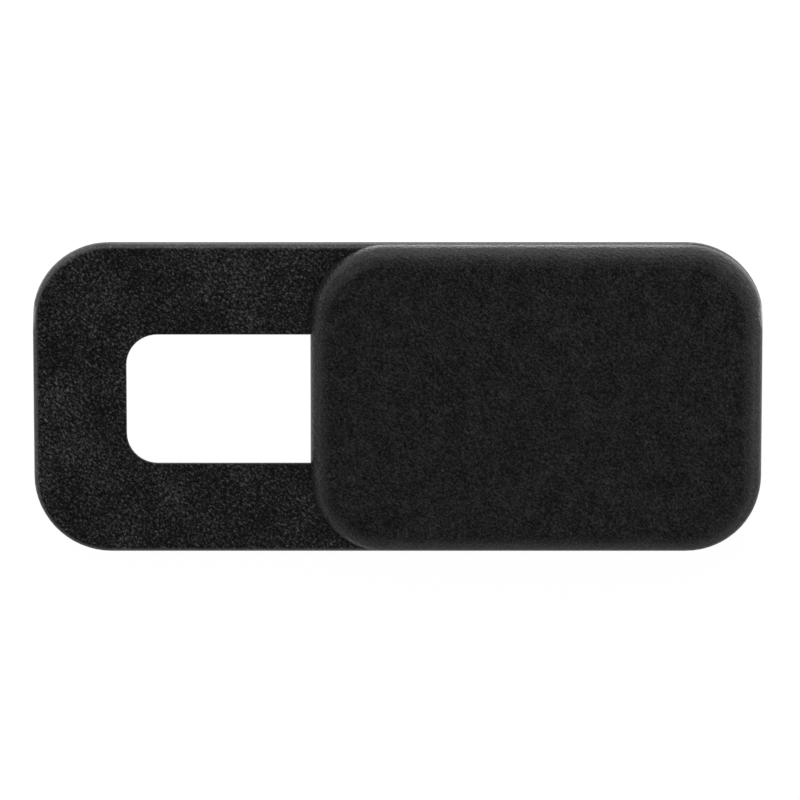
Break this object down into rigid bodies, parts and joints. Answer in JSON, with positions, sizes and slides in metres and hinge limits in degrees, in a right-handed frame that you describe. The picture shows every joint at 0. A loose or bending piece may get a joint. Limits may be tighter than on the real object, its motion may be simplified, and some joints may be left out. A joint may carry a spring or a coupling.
{
  "type": "webcam cover slider",
  "caption": "Thin stick-on webcam cover: a rounded black frame with a lens window, and a soft-edged shutter that slides along it to open or close the view.",
  "frame": {"origin": "middle of the frame, on the sticky face of the tape", "axes": "+X along the slide towards the open end, +Y up the screen, +Z away from the screen"},
  "size_m": [0.033, 0.0144, 0.0019],
  "materials": {
    "frame_plastic": "black, coarse sparkling moulded grain",
    "shutter_plastic": "black, fine soft moulded grain",
    "tape": "milky double-sided tape"
  },
  "bodies": {
    "frame": {"base_frame": "frame_plastic", "adhesive_pad": "tape"},
    "shutter": {"shutter": "shutter_plastic"}
  },
  "joints": [
    {"name": "shutter_slide", "type": "slide", "parent": "frame", "child": "shutter", "axis": [-1, 0, 0], "range_m": [0, 0.0125]}
  ]
}
